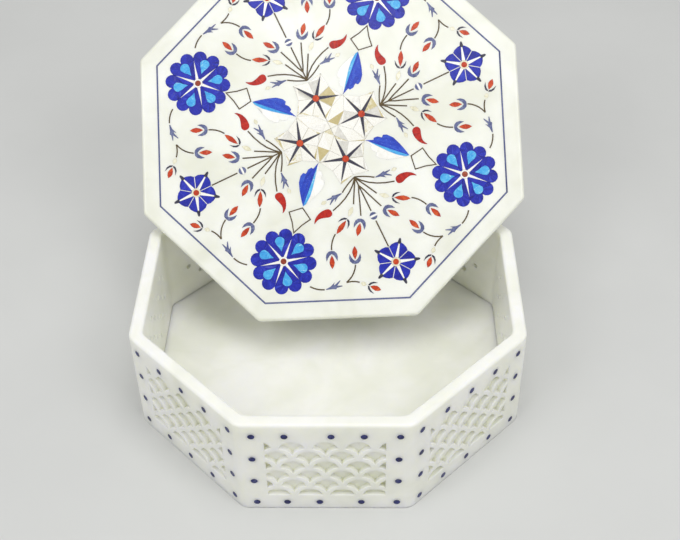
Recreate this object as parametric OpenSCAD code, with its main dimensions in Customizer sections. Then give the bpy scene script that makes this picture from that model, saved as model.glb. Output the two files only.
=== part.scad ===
// Octagonal marble jewellery box with pierced scale-pattern walls and a
// stone-inlaid loose lid. Millimetres, +Z up. The origin is the centre of
// the underside of the box, and the front wall faces -Y.
// The lid is modelled at rest, leaning in the mouth of the open box.

/* [Box] */
// Width of the box across its flats
box_w = 200; // [120:1:260]
// Height of the box from table to rim
box_h = 62; // [45:1:100]
// Thickness of each wall panel
wall_t = 7; // [5:0.5:12]
// Thickness of the floor slab
floor_t = 8; // [5:0.5:15]
// Rounding of the upright corners outside
corner_r = 8; // [3:0.5:12]
// Rounding of the upright corners inside
inner_corner_r = 6; // [1:0.5:12]
// Rounding along the rim
rim_r = 1.5; // [0.5:0.1:3]

/* [Pierced windows] */
// Width of the pierced window in each wall
window_w = 57.5; // [40:0.5:62]
// Height of the lower edge of the window above the table
window_z0 = 10.5; // [9:0.5:20]
// Height of the upper edge of the window above the table
window_z1 = 50; // [40:0.5:54]
// Distance between neighbouring scales in a row
scale_pitch = 15.8; // [10:0.2:20]
// Distance between rows of scales
row_pitch = 7; // [5:0.5:10]
// Radius of the rounded top of each hollow
scale_r = 6.2; // [4:0.1:8]
// Outer radius of the rib that frames each scale
rib_r = 8.8; // [6:0.1:12]
// Depth of the carved hollows
scale_depth = 2.4; // [1:0.1:5.5]
// Diameter of the hole drilled through each hollow
drill_d = 3; // [2:0.1:4]

/* [Wall dots] */
// Diameter of the lapis dots set in the walls
dot_d = 3.4; // [2:0.1:5]
// Depth of the lapis dots
dot_t = 1.5; // [0.5:0.1:3]
// Distance from the middle of a wall to its outer column of dots
dot_x = 35; // [28:0.5:36]

/* [Lid] */
// Width of the lid across its flats
lid_w = 208; // [124:1:268]
// Thickness of the lid slab
lid_t = 8; // [5:0.5:12]
// Rounding of the lid edges
lid_r = 1.8; // [0.5:0.1:3]
// Rounding of the lid corners
lid_corner_r = 4; // [3:0.5:10]
// Width across flats of the locating plate under the lid
plate_w = 182; // [100:1:184]
// Thickness of the locating plate
plate_t = 4; // [2:0.5:8]
// Backward lean of the lid at rest, from level
lid_tilt = 43; // [0:0.5:60]
// Turn of the lid about its own middle
lid_spin = 1.9; // [-5:0.1:5]
// Position of the middle of the lid's upper face
lid_centre = [0.5, 74.3, 107];

/* [Inlay] */
// Depth of the inlaid stones
inlay_t = 1.6; // [1:0.1:3]
// Turn of the whole pattern on the lid
pattern_turn = 1; // [-3:0.1:3]
// Width across flats of the border line
border_w = 189.8; // [150:0.2:195]
// Width of the border line
border_line_w = 0.9; // [0.5:0.1:2]
// Width of the stem slivers
stem_w = 0.75; // [0.4:0.05:1.2]
// Glue line left between neighbouring pieces of one stone
seam = 0.08; // [0.04:0.01:0.2]
// Distance of the rosettes from the middle
rosette_dist = 77.5; // [70:0.5:80]
// Distance of the star flowers from the middle
starflower_dist = 81.5; // [74:0.5:83]
// Distance of the small centre stars from the middle
star_dist = 18.7; // [16:0.1:22]
// Radius of the rosettes
rosette_r = 18; // [14:0.5:20]
// Reach of the star flowers to their dark tips
starflower_r = 13.2; // [10:0.1:15]

/* [Hidden] */

// how far the holes sit below the crown of their hollow, half hidden behind the rib above
drill_drop = 0.3;
// a hollow with its centre nearer than this to the side or the sill of the window isn't drilled
hole_side_gap = 3;
hole_sill_gap = 2.5;
// upper row of dots below the rim, and lower row above the table
dot_top_gap = 8;
dot_low_z = 4.8;
// dots along the upper and lower edge of a wall; those of the front wall are set unevenly
even_x = [for (i = [-2:2]) i * dot_x / 2];
front_top_x = [-34.5, -19, 3, 18.5, 35.5];
front_low_x = [-34.5, -19.5, -3.5, 17, 34.5];

// turn of the leaning lid about the upright
lid_turn = 0.5;
plate_corner_r = 3;
// direction of the first star flower on the lid
pattern_start = 22.5 + pattern_turn;
star_tip_r = 14.4;
star_notch_r = 9.8;
star_eye_r = 1.9;
// sides of the round pieces: a turned copy of a disc lands on its own corners
rosette_sides = 24;
star_sides = 20;
bead_sides = 18;
dot_sides = 12;
bead_r = 2.1;
bead_y = 53.6;
belt_w = 1.2;
ring_in = 1.6;
ring_out = 2.5;
petal_notch_r = 8.8;
petal_r = 10.9;
// quarters in which the lotus is turned over: its blue half lies on the other side
lotus_turned = [1, 0, 0, 0];
spray_root = [0, 29.6];

// width of the buds, and the share of their length at which they are widest
bud_w = 2.9;
bud_widest = 0.55;
// buds in one half of a quarter: [base x, base y, direction, length]
full_buds = [[-8.2, 54, 128, 7.4], [-29.8, 63.2, 113, 7.5], [-19.4, 70.8, 293, 7.4]];
husk_buds = [[-14.4, 49.4, 151, 9.2], [-18.4, 87.3, 46, 6.4]];
// sprigs in one half of a quarter: [base x, base y, direction]
sprig_places = [[-10.2, 35, 178], [-40.6, 78.6, 10]];
// pale leaves in one half of a quarter: [base x, base y, direction, length, width]
leaf_places = [
    [-19.6, 35.4, 178, 3.4, 2.2], [-19.8, 85.9, 226, 3.4, 2.4], [-8, 44.2, 139, 6, 2.6]
];
paisley_outline = [
    [-19.4, 41.6], [-19.8, 43.4], [-21.8, 44.1], [-24.6, 43], [-27.4, 42.4], [-29.4, 43],
    [-31.2, 44.2], [-29.8, 41.7], [-27.4, 40], [-24.4, 39.1], [-21.4, 39.2], [-19.9, 40]
];
lotus_edge = [
    [0, 20], [1.7, 24.2], [2.8, 23.9], [4.2, 25.6], [4.5, 28.1], [6.1, 28.2], [6.9, 30.2],
    [6.5, 34], [4.6, 38.2], [2.5, 41.9], [1, 44.2], [0, 45.6]
];
lotus_band = [[0, 22], [-0.9, 28], [-1.6, 34], [-1.8, 39], [-1.3, 42.8], [-0.9, 44.2], [0, 45.6]];
// twig that forks into a spur and two prongs
sprig_outline = [
    [-0.25, 0], [0.25, 0], [0.75, 2.6], [2.5, 5.5], [1.05, 4.6], [1.15, 5.4], [2.75, 8.5],
    [2.4, 8.7], [0.35, 6.3], [-0.35, 9], [-0.75, 9], [-0.75, 5.9], [-1.4, 5.3], [-0.8, 3.6]
];
calyx_outline = [
    [0, -2.4], [-1.6, -2.1], [-2.8, -0.9], [-3.3, 1], [-2.9, 3.3], [-2, 1.4], [-1.1, 0.1], [0, -0.7],
    [1.1, 0.1], [2, 1.4], [2.9, 3.3], [3.3, 1], [2.8, -0.9], [1.6, -2.1]
];
husk_half = [
    [-0.2, -1.2], [-1.8, -0.6], [-2.9, 1], [-3.2, 3.6], [-2.3, 1.8], [-1.4, 0.5], [-0.2, -0.3]
];
diamond_outer = [
    [0, 46.1], [3, 48.3], [6.6, 51], [3.1, 55.8], [0, 61.6], [-3.1, 55.8], [-6.6, 51], [-3, 48.3]
];
diamond_inner = [
    [0, 46.9], [2.6, 48.8], [5.7, 51.1], [2.5, 55.5], [0, 60.3], [-2.5, 55.5], [-5.7, 51.1],
    [-2.6, 48.8]
];

// ---- plane geometry helpers ----

function polar(r, a) = [r * cos(a), r * sin(a)];

function disc_points(r, n) = [for (i = [0:n - 1]) polar(r, i * 360 / n)];

// octagon w across its flats, with its corners rounded to radius r
function soft_octagon(w, r, n = 4) = [
    for (k = [0:7]) for (i = [0:n])
        polar((w / 2 - r) / cos(22.5), 22.5 + 45 * k) + polar(r, 45 * k + 45 * i / n)
];

// points on a curve from p to q that is pulled towards c
function bow(p, c, q, n = 5) = [
    for (i = [0:n]) let (t = i / n) (1 - t) * (1 - t) * p + 2 * t * (1 - t) * c + t * t * q
];

function unit(v) = v / norm(v);

function side_of(line, i) =
    let (
        a = line[max(i - 1, 0)],
        b = line[min(i + 1, len(line) - 1)],
        d = unit(b - a)
    )
    [-d[1], d[0]];

// outline of a sliver w wide that follows a line of points
function sliver(line, w) = concat(
    [for (i = [0:len(line) - 1]) line[i] + side_of(line, i) * w / 2],
    [for (i = [len(line) - 1:-1:0]) line[i] - side_of(line, i) * w / 2]
);

// one pass of corner cutting, which softens an outline
function soften(p) = [
    for (i = [0:len(p) - 1])
        let (q = p[(i + 1) % len(p)])
        for (t = [0.25, 0.75]) p[i] * (1 - t) + q * t
];

function spun(p, a) = [p[0] * cos(a) - p[1] * sin(a), p[0] * sin(a) + p[1] * cos(a)];

// one outline made of n turned copies of an open run of points
function round_outline(run, n, start = 0) = [
    for (i = [0:n - 1]) for (p = run) spun(p, start + i * 360 / n)
];

function flipped(points) = [for (p = points) [-p[0], p[1]]];

// pointed blade along +Y, its widest place at the share "at" of its length
function blade(length, width, at = 0.5) = concat(
    [[0, 0]],
    [for (s = [0.5, 1]) [width / 2 * sin(90 * s), length * at * s]],
    [[width / 2 * cos(45), length * (at + 1) / 2]],
    [[0, length]],
    [[-width / 2 * cos(45), length * (at + 1) / 2]],
    [for (s = [1, 0.5]) [-width / 2 * sin(90 * s), length * at * s]]
);

// thin strip along +X that parts neighbouring pieces
module seam_cut(length) {
    translate([0, -seam / 2])
        square([length, seam]);
}

module place(at) {
    translate([at[0], at[1]])
        rotate(at[2] - 90)
            children();
}

// ---- box ----

// outline of the front wall seen from above, drawn in by an inset on both faces,
// from the middle of one rounded corner to the middle of the next
function wall_outline(inset) =
    let (
        outer = soft_octagon(box_w - 2 * inset, corner_r - inset),
        inner = soft_octagon(box_w - 2 * wall_t + 2 * inset, inner_corner_r + inset)
    )
    concat([for (i = [27:32]) outer[i]], [for (i = [32:-1:27]) inner[i]]);

// faces that close an outline of n points: one face for a convex outline,
// a row of four-cornered faces for a strip that bends
function one_cap(n) = [[for (i = [0:n - 1]) i]];
function strip_cap(n) = [for (i = [0:n / 2 - 2]) [i, i + 1, n - 2 - i, n - 1 - i]];

// solid built up from level outlines, each a list of [x, y] points at its own height
module stacked(outlines, heights, cap) {
    n = len(outlines[0]);
    last = len(outlines) - 1;
    points = [
        for (j = [0:last])
            for (p = outlines[j])
                [p[0], p[1], heights[j]]
    ];
    sides = [
        for (j = [0:last - 1])
            for (i = [0:n - 1])
                [j * n + i, (j + 1) * n + i, (j + 1) * n + (i + 1) % n, j * n + (i + 1) % n]
    ];
    top = [for (f = cap) [for (i = [len(f) - 1:-1:0]) last * n + f[i]]];
    polyhedron(points, concat(cap, sides, top));
}

// front wall with a rounded rim
module wall_blank() {
    turns = [0:22.5:90];
    insets = concat([0], [for (a = turns) rim_r * (1 - cos(a))]);
    heights = concat([0], [for (a = turns) box_h - rim_r * (1 - sin(a))]);
    outlines = [for (inset = insets) wall_outline(inset)];
    stacked(outlines, heights, strip_cap(len(outlines[0])));
}

module scale_hollow() {
    difference() {
        circle(r = scale_r);
        for (s = [-1, 1])
            translate([s * scale_pitch / 2, -row_pitch])
                circle(r = rib_r);
    }
}

// centres of the hollows, top row first; every second row is shifted by half a scale
function hollow_centres() = [
    for (row = [0:5])
        for (x = [-2:2])
            let (
                cx = (x + (row % 2) / 2) * scale_pitch,
                cz = window_z1 - scale_r - row * row_pitch
            )
            if (abs(cx) < window_w / 2 + scale_r)
                [cx, cz]
];

module window_pattern() {
    intersection() {
        translate([-window_w / 2, window_z0])
            square([window_w, window_z1 - window_z0]);
        union()
            for (c = hollow_centres())
                translate(c)
                    scale_hollow();
    }
}

module drilled_holes() {
    for (c = hollow_centres())
        if (abs(c[0]) < window_w / 2 - hole_side_gap && c[1] > window_z0 + hole_sill_gap)
            translate(c + [0, scale_r - drill_drop])
                circle(d = drill_d);
}

function dot_places(top_x, low_x) =
    let (
        top = box_h - dot_top_gap,
        low = dot_low_z,
        step = (top - low) / 3
    )
    concat(
        [for (x = top_x) [x, top]],
        [for (x = low_x) [x, low]],
        [for (s = [-1, 1]) for (k = [1, 2]) [s * dot_x, low + k * step]]
    );

module dot_discs(t, top_x, low_x) {
    for (p = dot_places(top_x, low_x))
        translate(p)
            linear_extrude(t)
                polygon(disc_points(dot_d / 2, dot_sides));
}

// turns a drawing in X and Z into a cut running inwards from the outer face of the front wall
module on_wall_face(turn, depth) {
    rotate(turn)
        translate([0, -box_w / 2 + depth, 0])
            rotate([90, 0, 0])
                children();
}

module wall_panel(turn, top_x = even_x, low_x = even_x) {
    color("ivory")
        difference() {
            rotate(turn)
                wall_blank();
            on_wall_face(turn, scale_depth)
                linear_extrude(scale_depth + 1)
                    window_pattern();
            on_wall_face(turn, wall_t + 1)
                linear_extrude(wall_t + 1 - scale_depth)
                    drilled_holes();
            on_wall_face(turn, dot_t)
                dot_discs(dot_t + 1, top_x, low_x);
        }
}

module wall_dots(turn, top_x = even_x, low_x = even_x) {
    color("midnightblue")
        on_wall_face(turn, dot_t)
            dot_discs(dot_t, top_x, low_x);
}

module base_slab() {
    color("ivory")
        linear_extrude(floor_t)
            polygon(soft_octagon(box_w - 2 * wall_t, inner_corner_r));
}

module wall_front() { wall_panel(0, front_top_x, front_low_x); }
module wall_front_right() { wall_panel(45); }
module wall_right() { wall_panel(90); }
module wall_back_right() { wall_panel(135); }
module wall_back() { wall_panel(180); }
module wall_back_left() { wall_panel(225); }
module wall_left() { wall_panel(270); }
module wall_front_left() { wall_panel(315); }

module dots_front() { wall_dots(0, front_top_x, front_low_x); }
module dots_front_right() { wall_dots(45); }
module dots_right() { wall_dots(90); }
module dots_back_right() { wall_dots(135); }
module dots_back() { wall_dots(180); }
module dots_back_left() { wall_dots(225); }
module dots_left() { wall_dots(270); }
module dots_front_left() { wall_dots(315); }

// ---- placing on the lid ----

// lid frame: origin at the middle of its upper face, +Z out of that face
module on_lid() {
    translate(lid_centre)
        rotate([lid_tilt, 0, lid_turn])
            rotate(lid_spin)
                children();
}

module each_quarter() {
    for (k = [0:3])
        rotate(pattern_start - 90 + 90 * k)
            children();
}

module both_halves() {
    children();
    mirror([1, 0])
        children();
}

// lays drawn shapes into the lid as stones flush with its upper face
module inlaid() {
    on_lid()
        translate([0, 0, -inlay_t])
            linear_extrude(inlay_t)
                children();
}

module at_rosettes() {
    each_quarter()
        rotate(45)
            translate([0, rosette_dist])
                rotate(90)
                    children();
}

module at_starflowers() {
    each_quarter()
        translate([0, starflower_dist])
            rotate(90)
                children();
}

module at_centre_stars() {
    each_quarter()
        translate([0, star_dist])
            rotate(-90)
                children();
}

// +X of the lotus frame is the side of the blue half
module at_lotuses() {
    for (k = [0:3])
        rotate(pattern_start - 135 + 90 * k)
            mirror([lotus_turned[k], 0])
                children();
}

module turned(n, start = 0) {
    for (i = [0:n - 1])
        rotate(start + i * 360 / n)
            children();
}

// ---- border ----

module border_strip() {
    outer = border_w / 2;
    inner = outer - border_line_w;
    polygon([
        polar(inner / cos(22.5), -22.5), polar(outer / cos(22.5), -22.5),
        polar(outer / cos(22.5), 22.5), polar(inner / cos(22.5), 22.5)
    ]);
}

function octagon_points(w) = [for (i = [0:7]) polar(w / 2 / cos(22.5), 22.5 + 45 * i)];

module border_outline() {
    difference() {
        polygon(octagon_points(border_w));
        polygon(octagon_points(border_w - 2 * border_line_w));
    }
}

module border_line() {
    color("slategray")
        inlaid()
            turned(8)
                difference() {
                    border_strip();
                    for (s = [-22.5, 22.5])
                        rotate(s)
                            seam_cut(border_w);
                }
}

// ---- rosettes ----

lobe_base = rosette_r * 0.81;

function lobe_point(a) =
    [lobe_base * cos(15) + 0.15 * cos(a), 0] + polar(lobe_base * sin(15), a);

module rosette_lobe_outline() {
    polygon(concat([[0, 0]], [for (a = [-90:22.5:90]) lobe_point(a)]));
}

module rosette_drop() {
    polygon(concat(
        [[5.5, 0], [7.6, -0.9], [9.4, -2]],
        [for (a = [-80:20:80]) [11, 0] + polar(2.7, a)],
        [[9.4, 2], [7.6, 0.9]]
    ));
}

module rosette_ray() {
    polygon([[ring_out - 0.2, -0.8], [13.1, 0], [ring_out - 0.2, 0.8]]);
}

module ring_disc(sides) {
    polygon(disc_points(ring_out, sides));
}

module eye_disc(sides) {
    polygon(disc_points(ring_in, sides));
}

module rosette_lobes() {
    color("mediumblue")
        inlaid()
            at_rosettes()
                for (i = [0:11])
                    rotate(15 + 30 * i)
                        difference() {
                            rosette_lobe_outline();
                            rotate(-15)
                                ring_disc(rosette_sides);
                            rotate(i % 2 == 0 ? 15 : -15)
                                rosette_drop();
                            rotate(i % 2 == 0 ? -15 : 15)
                                rosette_ray();
                            for (s = [-15, 15])
                                rotate(s)
                                    seam_cut(rosette_r);
                        }
}

module rosette_drops() {
    color("deepskyblue")
        inlaid()
            at_rosettes()
                turned(6, 30)
                    rosette_drop();
}

module rosette_rays() {
    color("whitesmoke")
        inlaid()
            at_rosettes()
                turned(6)
                    difference() {
                        rosette_ray();
                        ring_disc(rosette_sides);
                    }
}

module rosette_rings() {
    color("slategray")
        inlaid()
            at_rosettes()
                difference() {
                    ring_disc(rosette_sides);
                    eye_disc(rosette_sides);
                }
}

module rosette_eyes() {
    color("sienna")
        inlaid()
            at_rosettes()
                eye_disc(rosette_sides);
}

module rosette_outlines() {
    at_rosettes()
        polygon(round_outline([for (a = [-90:22.5:67.5]) lobe_point(a)], 12, 15));
}

// ---- star flowers ----

// edge of one petal from its notch to its tip, as [radius, angle]
petal_edge = [[petal_notch_r, 36], [petal_r * 0.9, 25], [petal_r * 0.96, 14], [petal_r, 5]];
petal_rise = [for (e = petal_edge) polar(e[0], -e[1])];
petal_fall = [for (i = [3:-1:0]) polar(petal_edge[i][0], petal_edge[i][1])];
tip_points = [
    [starflower_r - 0.5, -0.6], [starflower_r, -0.2], [starflower_r, 0.2], [starflower_r - 0.5, 0.6]
];

module starflower_petal_outline() {
    polygon(concat([[0, 0]], petal_rise, petal_fall));
}

module starflower_tip() {
    polygon(concat(
        [[petal_r - 0.9, -0.6], petal_rise[3]], tip_points, [petal_fall[0], [petal_r - 0.9, 0.6]]
    ));
}

module starflower_ray() {
    polygon([[ring_in, -1], [petal_r - 0.9, -0.35], [petal_r - 0.9, 0.35], [ring_in, 1]]);
}

module starflower_thread() {
    polygon([[ring_in, -0.2], [petal_notch_r + 0.5, -0.2], [petal_notch_r + 0.5, 0.2], [ring_in, 0.2]]);
}

module starflower_petals() {
    color("navy")
        inlaid()
            at_starflowers()
                turned(5)
                    difference() {
                        starflower_petal_outline();
                        ring_disc(star_sides);
                        starflower_ray();
                        starflower_tip();
                        for (s = [-36, 36])
                            rotate(s)
                                starflower_thread();
                    }
}

module starflower_tips() {
    color("dimgray")
        inlaid()
            at_starflowers()
                turned(5)
                    starflower_tip();
}

module starflower_rays() {
    color("whitesmoke")
        inlaid()
            at_starflowers()
                turned(5)
                    difference() {
                        starflower_ray();
                        ring_disc(star_sides);
                    }
}

module starflower_threads() {
    color("lightsteelblue")
        inlaid()
            at_starflowers()
                turned(5, 36)
                    intersection() {
                        difference() {
                            starflower_thread();
                            ring_disc(star_sides);
                        }
                        polygon([[0, 0], polar(petal_notch_r, -3), polar(petal_notch_r, 3)]);
                    }
}

module starflower_rings() {
    color("linen")
        inlaid()
            at_starflowers()
                difference() {
                    ring_disc(star_sides);
                    eye_disc(star_sides);
                }
}

module starflower_eyes() {
    color("orangered")
        inlaid()
            at_starflowers()
                eye_disc(star_sides);
}

module starflower_outlines() {
    at_starflowers()
        polygon(round_outline(
            concat(petal_rise, tip_points, [for (i = [0:2]) petal_fall[i]]), 5
        ));
}

// ---- lotuses ----

module lotus_band_outline() {
    polygon(lotus_band);
}

module lotus_lobes() {
    color("royalblue")
        inlaid()
            at_lotuses()
                polygon(lotus_edge);
}

module lotus_bands() {
    color("skyblue")
        inlaid()
            at_lotuses()
                lotus_band_outline();
}

module lotus_shells() {
    color("snow")
        inlaid()
            at_lotuses()
                difference() {
                    polygon(flipped(lotus_edge));
                    lotus_band_outline();
                }
}

module lotus_outlines() {
    at_lotuses()
        polygon(concat(
            lotus_edge,
            [for (i = [len(lotus_edge) - 2:-1:1]) flipped(lotus_edge)[i]]
        ));
}

// ---- centre stars and the pearl between them ----

module star_needle() {
    polygon([[1, -1], [11, -0.34], [12.9, 0], [11, 0.34], [1, 1]]);
}

module star_eye() {
    polygon(disc_points(star_eye_r, star_sides));
}

module star_facet() {
    polygon([[0, 0], [star_tip_r, 0], polar(star_notch_r, 36)]);
}

module star_needles() {
    color("darkslategray")
        inlaid()
            at_centre_stars()
                turned(5)
                    difference() {
                        star_needle();
                        star_eye();
                    }
}

module star_facets() {
    color("linen")
        inlaid()
            at_centre_stars()
                turned(5)
                    for (s = [0, 1])
                        mirror([0, s])
                            difference() {
                                star_facet();
                                star_needle();
                                star_eye();
                                for (s = [0, 36])
                                    rotate(s)
                                        seam_cut(star_tip_r + 1);
                            }
}

module star_eyes() {
    color("orangered")
        inlaid()
            at_centre_stars()
                star_eye();
}

function star_point(r, a) = [0, star_dist] + polar(r, a);

// a quarter turn of a point in the plane
function quarter(p) = [-p[1], p[0]];

module centre_kite() {
    tip = star_point(star_tip_r, 270);
    notch = star_point(star_notch_r, 234);
    touch = star_point(star_tip_r, 198);
    far_touch = quarter(star_point(star_tip_r, 342));
    far_notch = quarter(star_point(star_notch_r, 306));
    polygon([[0, 0], tip, notch, touch, far_touch, far_notch, quarter(tip)]);
}

module centre_kites() {
    color("seashell")
        inlaid()
            each_quarter()
                difference() {
                    centre_kite();
                    for (s = [90, 180])
                        rotate(s)
                            seam_cut(star_dist);
                }
}

module centre_outline() {
    run = [for (i = [-3:3]) star_point(i % 2 == 0 ? star_notch_r : star_tip_r, 90 + 36 * i)];
    rotate(pattern_start)
        polygon(round_outline(run, 4));
}

// ---- stems ----

module stem(p, c, q) {
    polygon(sliver(bow(p, c, q), stem_w));
}

module side_stems() {
    stem([-1.4, 38], [-3.5, 44], [-6.2, 50.6]);
    stem([0, 30.6], [-3, 35.5], [-7, 43.2]);
    stem([0, 30.2], [-6, 38.5], [-18.6, 41.5]);
    stem([0, 29.9], [-5, 31.5], [-9.8, 34.8]);
}

module spray() {
    union() {
        polygon(sliver([spray_root, [0, 50.6]], stem_w));
        polygon(sliver([[0, 35], [-1.4, 38.2]], stem_w));
        polygon(sliver([[0, 35], [1.4, 38.2]], stem_w));
        both_halves()
            side_stems();
    }
}

module flower_stem() {
    polygon(sliver([[0, 56.6], [0, 72.2]], stem_w));
}

module bud_stem() {
    stem([-23, 53.6], [-26.8, 56], [-28.7, 60.6]);
}

module vine_fork() {
    union() {
        stem([-29, 80], [-23.4, 78.6], [-20.4, 73.4]);
        stem([-29, 80], [-25, 80.8], [-22.6, 83]);
    }
}

module vine_stem() {
    stem([-41.4, 78.4], [-45.4, 76.8], [-47.8, 73.4]);
}

module stem_shapes() {
    each_quarter() {
        spray();
        flower_stem();
        both_halves() {
            bud_stem();
            vine_fork();
            vine_stem();
        }
    }
}

module stems() {
    color("saddlebrown")
        inlaid()
            stem_shapes();
}

module diamond_shapes() {
    each_quarter()
        rotate(45)
            difference() {
                polygon(diamond_outer);
                polygon(diamond_inner);
            }
}

module diamonds() {
    color("saddlebrown")
        inlaid()
            diamond_shapes();
}

// ---- buds, commas, sprigs, leaves and beads ----

module at_places(places) {
    each_quarter()
        both_halves()
            for (p = places)
                place(p)
                    children();
}

module bud_petal_shapes() {
    each_quarter()
        both_halves()
            for (b = concat(full_buds, husk_buds))
                place(b)
                    polygon(blade(b[3], bud_w, bud_widest));
}

module bud_petals() {
    color("tomato")
        inlaid()
            bud_petal_shapes();
}

module calyx_shapes() {
    at_places(full_buds)
        polygon(calyx_outline);
}

module bud_calyxes() {
    color("slategray")
        inlaid()
            calyx_shapes();
}

module husk_shapes() {
    at_places(husk_buds)
        both_halves()
            polygon(husk_half);
}

module bud_husks() {
    color("gray")
        inlaid()
            husk_shapes();
}

module paisley_shapes() {
    each_quarter()
        both_halves()
            polygon(soften(paisley_outline));
}

module paisleys() {
    color("firebrick")
        inlaid()
            paisley_shapes();
}

module sprig_shapes() {
    at_places(sprig_places)
        polygon(sprig_outline);
}

module sprigs() {
    color("slategray")
        inlaid()
            sprig_shapes();
}

module leaf_shapes() {
    each_quarter()
        both_halves()
            for (p = leaf_places)
                place(p)
                    polygon(blade(p[3], p[4], 0.5));
}

module shell_leaves() {
    color("cornsilk")
        inlaid()
            leaf_shapes();
}

module bead_outline() {
    translate([0, bead_y])
        polygon(disc_points(bead_r, bead_sides));
}

module bead_belt() {
    translate([-2 * bead_r, bead_y - belt_w / 2])
        square([4 * bead_r, belt_w]);
}

module bead_caps() {
    color("darkslategray")
        inlaid()
            each_quarter()
                difference() {
                    bead_outline();
                    bead_belt();
                }
}

module bead_bands() {
    color("whitesmoke")
        inlaid()
            each_quarter()
                intersection() {
                    bead_outline();
                    bead_belt();
                }
}

module bead_outlines() {
    each_quarter()
        bead_outline();
}

// ---- lid ----

// octagonal plate t thick below z = 0, with its edges rounded to radius r
module soft_plate(w, t, r, corner) {
    turns = [0:22.5:90];
    insets = concat([for (a = turns) r * (1 - sin(a))], [for (a = turns) r * (1 - cos(a))]);
    heights = concat([for (a = turns) r * (1 - cos(a)) - t], [for (a = turns) -r * (1 - sin(a))]);
    outlines = [for (inset = insets) soft_octagon(w - 2 * inset, corner - inset)];
    stacked(outlines, heights, one_cap(len(outlines[0])));
}

module pocket() {
    translate([0, 0, -inlay_t])
        linear_extrude(inlay_t + 1)
            children();
}

module lid_slab() {
    color("ivory")
        on_lid()
            difference() {
                soft_plate(lid_w, lid_t, lid_r, lid_corner_r);
                pocket()
                    border_outline();
                pocket()
                    rosette_outlines();
                pocket()
                    starflower_outlines();
                pocket()
                    lotus_outlines();
                pocket()
                    centre_outline();
                pocket()
                    stem_shapes();
                pocket()
                    diamond_shapes();
                pocket()
                    bud_petal_shapes();
                pocket()
                    calyx_shapes();
                pocket()
                    husk_shapes();
                pocket()
                    paisley_shapes();
                pocket()
                    sprig_shapes();
                pocket()
                    leaf_shapes();
                pocket()
                    bead_outlines();
            }
}

module locating_plate() {
    color("ivory")
        on_lid()
            translate([0, 0, -lid_t - plate_t])
                linear_extrude(plate_t)
                    polygon(soft_octagon(plate_w, plate_corner_r));
}

base_slab();
wall_front();
wall_front_right();
wall_right();
wall_back_right();
wall_back();
wall_back_left();
wall_left();
wall_front_left();
dots_front();
dots_front_right();
dots_right();
dots_back_right();
dots_back();
dots_back_left();
dots_left();
dots_front_left();
lid_slab();
locating_plate();
border_line();
rosette_lobes();
rosette_drops();
rosette_rays();
rosette_rings();
rosette_eyes();
starflower_petals();
starflower_tips();
starflower_rays();
starflower_threads();
starflower_rings();
starflower_eyes();
lotus_lobes();
lotus_bands();
lotus_shells();
star_needles();
star_facets();
star_eyes();
centre_kites();
stems();
diamonds();
bud_petals();
bud_calyxes();
bud_husks();
paisleys();
sprigs();
shell_leaves();
bead_caps();
bead_bands();
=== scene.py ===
"""Materials, lights and camera for an octagonal marble box, its inlaid lid leaning in it."""

import math

import bmesh
import bpy
from mathutils import Matrix, Vector


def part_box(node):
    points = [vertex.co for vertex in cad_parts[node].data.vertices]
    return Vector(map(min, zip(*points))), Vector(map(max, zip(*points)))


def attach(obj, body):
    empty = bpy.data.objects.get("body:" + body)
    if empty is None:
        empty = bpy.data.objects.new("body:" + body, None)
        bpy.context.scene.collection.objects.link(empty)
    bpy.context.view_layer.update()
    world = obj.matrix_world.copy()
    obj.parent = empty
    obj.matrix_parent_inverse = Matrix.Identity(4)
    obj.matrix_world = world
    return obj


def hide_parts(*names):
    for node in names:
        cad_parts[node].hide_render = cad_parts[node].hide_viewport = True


MM = 0.001

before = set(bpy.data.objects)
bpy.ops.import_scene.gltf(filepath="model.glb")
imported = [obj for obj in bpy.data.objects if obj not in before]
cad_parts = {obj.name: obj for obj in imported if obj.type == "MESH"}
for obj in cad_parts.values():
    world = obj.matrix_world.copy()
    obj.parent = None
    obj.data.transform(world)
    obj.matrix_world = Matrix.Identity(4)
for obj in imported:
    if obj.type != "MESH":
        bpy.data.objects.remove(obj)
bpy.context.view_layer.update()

# ---------------------------------------------------------------- node helpers


def add(tree, kind, inputs=None, **settings):
    """A new node. inputs holds numbers, colours or the sockets that feed it."""
    made = tree.nodes.new(kind)
    for name, value in settings.items():
        setattr(made, name, value)
    for name, value in (inputs or {}).items():
        if isinstance(value, bpy.types.NodeSocket):
            tree.links.new(value, made.inputs[name])
        else:
            made.inputs[name].default_value = value
    return made


def math_node(tree, operation, first, second=0.0):
    """The result of one sum on two numbers or sockets."""
    return add(tree, "ShaderNodeMath", {0: first, 1: second}, operation=operation).outputs[0]


def mixed(tree, share, first, second, blend="MIX"):
    """Colour first turning into colour second as share goes from 0 to 1."""
    made = add(tree, "ShaderNodeMix", data_type="RGBA", blend_type=blend)
    for index, value in ((0, share), (6, first), (7, second)):
        if isinstance(value, bpy.types.NodeSocket):
            tree.links.new(value, made.inputs[index])
        else:
            made.inputs[index].default_value = value
    return made.outputs[2]


def spread(tree, value, low, high, to_low=0.0, to_high=1.0):
    """value's range low..high stretched over to_low..to_high, cut off at both ends."""
    return add(
        tree,
        "ShaderNodeMapRange",
        {0: value, 1: low, 2: high, 3: to_low, 4: to_high},
        clamp=True,
    ).outputs[0]


def noise(tree, place, size_mm, detail=3.0, roughness=0.5, distortion=0.0):
    """Cloudy noise whose blobs are about size_mm across."""
    return add(
        tree,
        "ShaderNodeTexNoise",
        {
            "Vector": place,
            "Scale": 1 / (size_mm * MM),
            "Detail": detail,
            "Roughness": roughness,
            "Distortion": distortion,
        },
    ).outputs["Fac"]


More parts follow.
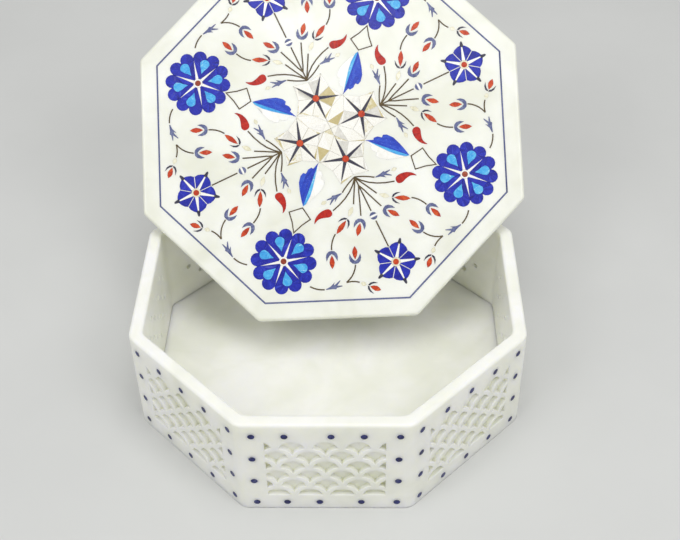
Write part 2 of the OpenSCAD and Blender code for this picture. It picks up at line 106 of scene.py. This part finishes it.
def rgb(red, green, blue):
    """A display colour of 0 to 255 as the linear colour that a shader takes."""

    def linear(level):
        level /= 255
        return level / 12.92 if level <= 0.04045 else ((level + 0.055) / 1.055) ** 2.4

    return (linear(red), linear(green), linear(blue), 1.0)


def new_material(name):
    """An empty node material: its tree and its Principled shader."""
    made = bpy.data.materials.new(name)
    made.use_nodes = True
    return made, made.node_tree, made.node_tree.nodes["Principled BSDF"]


PIECE_STEP = (0.37, -2.3 * 0.37, 1.7 * 0.37)  # metres, for a chance of 1


def own_place(tree):
    """Object coordinates that differ by a random step for each loose piece, and its chance."""
    place = add(tree, "ShaderNodeTexCoord").outputs["Object"]
    chance = add(tree, "ShaderNodeNewGeometry").outputs["Random Per Island"]
    step = add(
        tree,
        "ShaderNodeCombineXYZ",
        {axis: math_node(tree, "MULTIPLY", chance, far) for axis, far in enumerate(PIECE_STEP)},
    ).outputs[0]
    return (
        add(tree, "ShaderNodeVectorMath", {0: place, 1: step}, operation="ADD").outputs[0],
        chance,
    )


def edge_share(tree, reach_mm):
    """1 along a piece's sharp edges, fading to 0 at about reach_mm from them."""
    rounded = add(tree, "ShaderNodeBevel", {"Radius": reach_mm * MM}, samples=6).outputs[0]
    true = add(tree, "ShaderNodeNewGeometry").outputs["True Normal"]
    likeness = add(
        tree, "ShaderNodeVectorMath", {0: rounded, 1: true}, operation="DOT_PRODUCT"
    ).outputs["Value"]
    return spread(tree, likeness, 0.75, 0.995, 1.0, 0.0)


def bumped(tree, shader, layers):
    """Bump from (height socket, depth in mm) layers, one on top of the other."""
    below = {}
    for height, depth_mm in layers:
        made = add(
            tree,
            "ShaderNodeBump",
            {"Strength": 1.0, "Distance": depth_mm * MM, "Height": height, **below},
        )
        below = {"Normal": made.outputs[0]}
    tree.links.new(below["Normal"], shader.inputs["Normal"])


# ---------------------------------------------------------------- materials


def marble(name, light, cloud, painted_hollow_shade, glow, glow_mm):
    """Polished white marble: faint clouds and veins, fine sugar grain, and painted shade in the
    hollows.
    """
    made, tree, shader = new_material(name)
    place = add(tree, "ShaderNodeTexCoord").outputs["Object"]
    clouds = noise(tree, place, 34, 3, 0.5, 0.4)
    colour = mixed(tree, spread(tree, clouds, 0.38, 0.68), light, cloud)
    veins = noise(tree, place, 60, 2, 0.45, 0.8)
    vein = math_node(tree, "ABSOLUTE", math_node(tree, "SUBTRACT", veins, 0.5))
    vein_share = spread(tree, vein, 0.0, 0.05, 0.14, 0.0)
    colour = mixed(tree, vein_share, colour, cloud, "MULTIPLY")
    grain = noise(tree, place, 0.9, 2, 0.6)
    colour = mixed(tree, spread(tree, grain, 0.3, 0.7, 0.0, 0.16), colour, cloud)
    # painted shade: where ambient occlusion finds hollows and creases, the colour is darkened
    # towards a grey-green shade tint
    hollow = add(
        tree, "ShaderNodeAmbientOcclusion", {"Distance": 3 * MM}, samples=8
    ).outputs["AO"]
    colour = mixed(tree, spread(tree, hollow, 0.2, 0.8, 0.25, 0.0), colour, painted_hollow_shade)
    tree.links.new(colour, shader.inputs["Base Color"])
    wear = noise(tree, place, 12, 4, 0.6)
    tree.links.new(spread(tree, wear, 0.3, 0.7, 0.29, 0.42), shader.inputs["Roughness"])
    shader.inputs["Subsurface Weight"].default_value = glow
    shader.inputs["Subsurface Radius"].default_value = (1.0, 0.99, 0.78)
    shader.inputs["Subsurface Scale"].default_value = glow_mm * MM
    shader.inputs["Coat Weight"].default_value = 0.18
    shader.inputs["Coat Roughness"].default_value = 0.14
    swell = noise(tree, place, 14, 2)
    bumped(tree, shader, [(swell, 0.35), (grain, 0.02)])
    return made


def inlay(
    name,
    tones,
    grain_mm,
    outline,
    fleck=None,
    fleck_share=0.0,
    gloss=0.29,
    coat=0.08,
    by_piece=0.4,
):
    """Polished inlay stone. tones are (position, colour) stops.

    A piece's own clouds pick its tone, and a by_piece share of the pick is the same all over it.
    gloss is its lowest roughness. The denoiser treats surfaces above and below a roughness of
    about 0.27 differently, so no stone's roughness crosses that.
    """
    made, tree, shader = new_material(name)
    place, chance = own_place(tree)
    clouds = noise(tree, place, grain_mm, 4, 0.6, 0.8)
    pick = math_node(
        tree,
        "ADD",
        math_node(tree, "MULTIPLY", spread(tree, clouds, 0.28, 0.72), 1 - by_piece),
        math_node(tree, "MULTIPLY", chance, by_piece),
    )
    ramp = add(tree, "ShaderNodeValToRGB", {0: pick})
    stops = ramp.color_ramp.elements
    while len(stops) < len(tones):
        stops.new(0.5)
    for stop, (position, colour) in zip(stops, tones):
        stop.position = position
        stop.color = colour
    colour = ramp.outputs[0]
    fine = noise(tree, place, 0.55, 3, 0.65)
    colour = mixed(tree, spread(tree, fine, 0.35, 0.75, 0.0, 0.3), colour, tones[0][1])
    if fleck:
        specks = add(
            tree, "ShaderNodeTexVoronoi", {"Vector": place, "Scale": 1 / (0.9 * MM)}
        ).outputs["Distance"]
        share = spread(tree, specks, 0.0, 0.26, fleck_share, 0.0)
        colour = mixed(tree, share, colour, fleck)
    edge = math_node(tree, "MULTIPLY", edge_share(tree, 0.42), 0.85)
    colour = mixed(tree, edge, colour, outline)
    tree.links.new(colour, shader.inputs["Base Color"])
    tree.links.new(
        spread(tree, fine, 0.3, 0.7, gloss, gloss + 0.12), shader.inputs["Roughness"]
    )
    shader.inputs["Specular IOR Level"].default_value = 0.3
    shader.inputs["Coat Weight"].default_value = coat
    shader.inputs["Coat Roughness"].default_value = 0.12
    bumped(tree, shader, [(clouds, 0.05), (fine, 0.01)])
    return made


MARBLES = {
    # each marble's third colour is the painted shade tint for its hollows and creases
    "marble_box": dict(
        light=rgb(249, 249, 243),
        cloud=rgb(237, 238, 227),
        painted_hollow_shade=rgb(205, 207, 187),
        glow=0.8,
        glow_mm=5,
    ),
    "marble_lid": dict(
        light=rgb(245, 246, 239),
        cloud=rgb(231, 232, 218),
        painted_hollow_shade=rgb(204, 204, 184),
        glow=0.3,
        glow_mm=2,
    ),
}

# the other material names in model.glb, and two stones of the same kinds for the nodes named
# further on
INLAYS = {
    "lapis": dict(
        tones=[
            (0.0, rgb(12, 18, 116)),
            (0.35, rgb(20, 30, 158)),
            (0.7, rgb(30, 44, 184)),
            (1.0, rgb(56, 76, 202)),
        ],
        grain_mm=5,
        outline=rgb(8, 10, 48),
        fleck=rgb(176, 180, 216),
        fleck_share=0.22,
    ),
    "lapis_dots": dict(
        tones=[
            (0.0, rgb(34, 30, 66)),
            (0.4, rgb(34, 40, 96)),
            (0.75, rgb(48, 56, 124)),
            (1.0, rgb(88, 92, 120)),
        ],
        grain_mm=3,
        outline=rgb(20, 20, 50),
        by_piece=0.8,
    ),
    "blue_lapis": dict(
        tones=[
            (0.0, rgb(18, 40, 150)),
            (0.45, rgb(30, 66, 194)),
            (1.0, rgb(60, 106, 216)),
        ],
        grain_mm=4,
        outline=rgb(18, 36, 110),
        fleck=rgb(190, 205, 225),
        fleck_share=0.3,
    ),
    "turquoise": dict(
        tones=[
            (0.0, rgb(44, 124, 208)),
            (0.45, rgb(66, 172, 234)),
            (0.74, rgb(104, 198, 240)),
            (0.95, rgb(214, 236, 246)),
        ],
        grain_mm=3,
        outline=rgb(128, 190, 238),
        fleck=rgb(235, 243, 246),
        fleck_share=0.3,
    ),
    "pearl": dict(
        tones=[
            (0.0, rgb(184, 166, 108)),
            (0.16, rgb(212, 200, 152)),
            (0.22, rgb(247, 246, 238)),
            (0.8, rgb(253, 253, 250)),
            (0.88, rgb(226, 225, 220)),
            (1.0, rgb(196, 196, 192)),
        ],
        grain_mm=2.2,
        outline=rgb(150, 146, 130),
        gloss=0.14,
        coat=0.4,
        by_piece=0.88,
    ),
    "pearl_white": dict(
        tones=[
            (0.0, rgb(236, 234, 224)),
            (0.4, rgb(250, 249, 244)),
            (1.0, rgb(254, 254, 252)),
        ],
        grain_mm=2.2,
        outline=rgb(150, 150, 148),
        gloss=0.14,
        coat=0.4,
        by_piece=0.5,
    ),
    "shell": dict(
        tones=[
            (0.0, rgb(214, 208, 172)),
            (0.5, rgb(238, 234, 208)),
            (1.0, rgb(249, 247, 236)),
        ],
        grain_mm=2.5,
        outline=rgb(196, 192, 164),
        gloss=0.14,
        coat=0.5,
    ),
    "carnelian": dict(
        tones=[
            (0.0, rgb(142, 34, 10)),
            (0.5, rgb(202, 60, 20)),
            (1.0, rgb(230, 112, 46)),
        ],
        grain_mm=3,
        outline=rgb(120, 30, 12),
    ),
    "carnelian_deep": dict(
        tones=[
            (0.0, rgb(132, 8, 3)),
            (0.5, rgb(188, 22, 8)),
            (1.0, rgb(214, 62, 22)),
        ],
        grain_mm=3,
        outline=rgb(96, 8, 6),
    ),
    "jasper": dict(
        tones=[
            (0.0, rgb(100, 34, 20)),
            (0.5, rgb(156, 62, 36)),
            (1.0, rgb(190, 110, 76)),
        ],
        grain_mm=2,
        outline=rgb(70, 26, 16),
    ),
    "slate_blue": dict(
        tones=[
            (0.0, rgb(70, 76, 118)),
            (0.5, rgb(94, 102, 146)),
            (1.0, rgb(138, 146, 178)),
        ],
        grain_mm=3,
        outline=rgb(52, 54, 84),
    ),
    "grey_stone": dict(
        tones=[
            (0.0, rgb(34, 32, 50)),
            (0.5, rgb(54, 52, 72)),
            (1.0, rgb(86, 84, 102)),
        ],
        grain_mm=3,
        outline=rgb(40, 40, 52),
    ),
    "stem_stone": dict(
        tones=[
            (0.0, rgb(62, 48, 20)),
            (0.5, rgb(86, 68, 30)),
            (1.0, rgb(116, 96, 52)),
        ],
        grain_mm=4,
        outline=rgb(40, 30, 12),
    ),
}


def stones():
    """Every stone's material, by name."""
    made = {name: marble(name, **look) for name, look in MARBLES.items()}
    made.update({name: inlay(name, **look) for name, look in INLAYS.items()})
    return made


# ---------------------------------------------------------------- the CAD nodes

WELD_MM = 0.002
INLAY_EDGE_MM = 0.09
# nodes cut from the whitest part of the shell
WHITE_PEARL = (
    "lotus_shells",
    "rosette_rays",
    "rosette_rings",
    "starflower_rays",
    "starflower_threads",
    "bead_bands",
)


def stone_name(name, slot):
    """The stone of the CAD node called name, whose material in model.glb is named slot."""
    if name in WHITE_PEARL:
        return "pearl_white"
    if name.startswith("dots_"):
        return "lapis_dots"
    return slot


def dress(nodes, made):
    """Every CAD node gets its stone. Inlay pieces are welded and lose their sharp rims."""
    for name, piece in nodes.items():
        for at, old in enumerate(piece.data.materials):
            stone = stone_name(name, old.name.split(".")[0])
            piece.material_slots[at].link = "OBJECT"
            piece.material_slots[at].material = made[stone]
        if stone not in MARBLES:
            weld = piece.modifiers.new("weld", "WELD")
            weld.merge_threshold = WELD_MM * MM
            rim = piece.modifiers.new("rim", "BEVEL")
            rim.width = INLAY_EDGE_MM * MM
            rim.segments = 1
            rim.limit_method = "ANGLE"
            rim.angle_limit = math.radians(50)
            rim.use_clamp_overlap = False


# ---------------------------------------------------------------- the carved walls

WALLS = (
    "wall_front",
    "wall_front_right",
    "wall_right",
    "wall_back_right",
    "wall_back",
    "wall_back_left",
    "wall_left",
    "wall_front_left",
)
TOUCH = 0.005 * MM  # two points closer than this are one
LIP_MM = 0.45  # rounding of the hollows' edges, as a hand file leaves them
HALF_TURN = math.radians(22.5)  # from the middle of a wall to its mitre
# the part of a wall that holds its hollows
HOLLOWS_SIDE = 30 * MM
HOLLOWS_LOW = 9 * MM
HOLLOWS_HIGH = 51.5 * MM


def on_mitre(face):
    """True for a face in the plane where two walls meet."""
    return all(
        abs(math.cos(HALF_TURN) * abs(v.co.x) + math.sin(HALF_TURN) * v.co.y) < TOUCH
        for v in face.verts
    )


def carved_wall(node, turn, reach):
    """One wall without its mitred ends and with its hollows' edges rounded.

    It is turned to the front for the work and turned back. reach is how far its face is out.
    """
    part = bmesh.new()
    part.from_mesh(node.data)
    part.transform(Matrix.Rotation(-turn, 4, "Z"))
    bmesh.ops.remove_doubles(part, verts=part.verts, dist=TOUCH)
    bmesh.ops.delete(part, geom=[f for f in part.faces if on_mitre(f)], context="FACES")
    bmesh.ops.dissolve_limit(
        part, angle_limit=math.radians(0.5), verts=part.verts, edges=part.edges
    )
    lips = [
        e
        for e in part.edges
        if all(abs(v.co.y + reach) < TOUCH for v in e.verts)
        and all(abs(v.co.x) < HOLLOWS_SIDE for v in e.verts)
        and all(HOLLOWS_LOW < v.co.z < HOLLOWS_HIGH for v in e.verts)
        and e.calc_face_angle(0) > math.radians(60)
    ]
    bmesh.ops.bevel(
        part,
        geom=lips,
        offset=LIP_MM * MM,
        offset_type="OFFSET",
        segments=3,
        profile=0.5,
        affect="EDGES",
        clamp_overlap=False,
    )
    part.transform(Matrix.Rotation(turn, 4, "Z"))
    return part


def carved_walls(nodes, stone):
    """The ring of eight walls as one glued and polished shell."""
    ring = bmesh.new()
    reach = -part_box("wall_front")[0].y
    for step, name in enumerate(WALLS):
        part = carved_wall(nodes[name], math.radians(45 * step), reach)
        mesh = bpy.data.meshes.new(name + "_carved")
        part.to_mesh(mesh)
        ring.from_mesh(mesh)
        bpy.data.meshes.remove(mesh)
        part.free()
    bmesh.ops.remove_doubles(ring, verts=ring.verts, dist=TOUCH)
    for face in ring.faces:
        face.smooth = True
    for edge in ring.edges:
        edge.smooth = edge.calc_face_angle(0) < math.radians(35)
    mesh = bpy.data.meshes.new("carved_walls")
    ring.to_mesh(mesh)
    ring.free()
    mesh.materials.append(stone)
    made = bpy.data.objects.new("carved_walls", mesh)
    bpy.context.scene.collection.objects.link(made)
    shade = made.modifiers.new("even_shade", "WEIGHTED_NORMAL")
    shade.keep_sharp = True
    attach(made, "box")
    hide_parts(*WALLS)


all_stones = stones()
dress(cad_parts, all_stones)
carved_walls(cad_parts, all_stones["marble_box"])

# ---------------------------------------------------------------- studio


def floor():
    """A wide pale floor with a faint mottle."""
    bpy.ops.mesh.primitive_plane_add(size=8, location=(0, 0, 0))
    made = bpy.context.object
    made.name = "floor"
    stuff, tree, shader = new_material("floor_paper")
    place = add(tree, "ShaderNodeTexCoord").outputs["Object"]
    mottle = noise(tree, place, 160, 4)
    colour = mixed(
        tree, spread(tree, mottle, 0.35, 0.65), rgb(205, 206, 204), rgb(210, 211, 209)
    )
    tree.links.new(colour, shader.inputs["Base Color"])
    shader.inputs["Roughness"].default_value = 0.7
    made.data.materials.append(stuff)


BOX_MIDDLE = (0, 0, 0.05)


def soft_light(name, place, size, power, aim=BOX_MIDDLE):
    """A square soft box at place that points at aim."""
    data = bpy.data.lights.new(name, "AREA")
    data.size = size
    data.energy = power
    made = bpy.data.objects.new(name, data)
    bpy.context.scene.collection.objects.link(made)
    made.location = place
    made.rotation_euler = (Vector(aim) - Vector(place)).to_track_quat("-Z", "Y").to_euler()


def surroundings(level):
    """An even pale room round the table."""
    world = bpy.data.worlds.new("room")
    world.use_nodes = True
    ground = world.node_tree.nodes["Background"]
    ground.inputs["Color"].default_value = (1.0, 1.0, 1.0, 1.0)
    ground.inputs["Strength"].default_value = level
    bpy.context.scene.world = world


CAMERA_PLACE = (0.0184, -0.4537, 0.4733)  # metres
CAMERA_DOWN = math.radians(41.67)
CAMERA_TURN = -0.0272  # radians, positive to the right
CAMERA_ROLL = -0.0202  # radians
CAMERA_LENS_MM = 61.67


def camera():
    """The camera, above and in front of the box, looking down into it and at the lid."""
    data = bpy.data.cameras.new("camera")
    data.lens = CAMERA_LENS_MM
    data.sensor_width = 36
    data.clip_start = 0.01
    made = bpy.data.objects.new("camera", data)
    bpy.context.scene.collection.objects.link(made)
    ahead = Vector(
        (
            math.sin(CAMERA_TURN) * math.cos(CAMERA_DOWN),
            math.cos(CAMERA_TURN) * math.cos(CAMERA_DOWN),
            -math.sin(CAMERA_DOWN),
        )
    )
    level = Vector((math.cos(CAMERA_TURN), -math.sin(CAMERA_TURN), 0))
    upright = level.cross(ahead)
    right = level * math.cos(CAMERA_ROLL) + upright * math.sin(CAMERA_ROLL)
    up = upright * math.cos(CAMERA_ROLL) - level * math.sin(CAMERA_ROLL)
    turned = Matrix((right, up, -ahead)).transposed()
    made.matrix_world = Matrix.Translation(CAMERA_PLACE) @ turned.to_4x4()
    bpy.context.scene.camera = made


floor()
surroundings(0.5)
soft_light("top", (0.1, -0.22, 1.7), 0.9, 9.5, aim=(0, -0.02, 0.05))
soft_light("left", (-0.95, -0.85, 1.45), 0.7, 6.2)
soft_light("right", (0.95, -0.85, 1.45), 0.7, 6.2)
camera()
bpy.context.scene.view_settings.view_transform = "Standard"
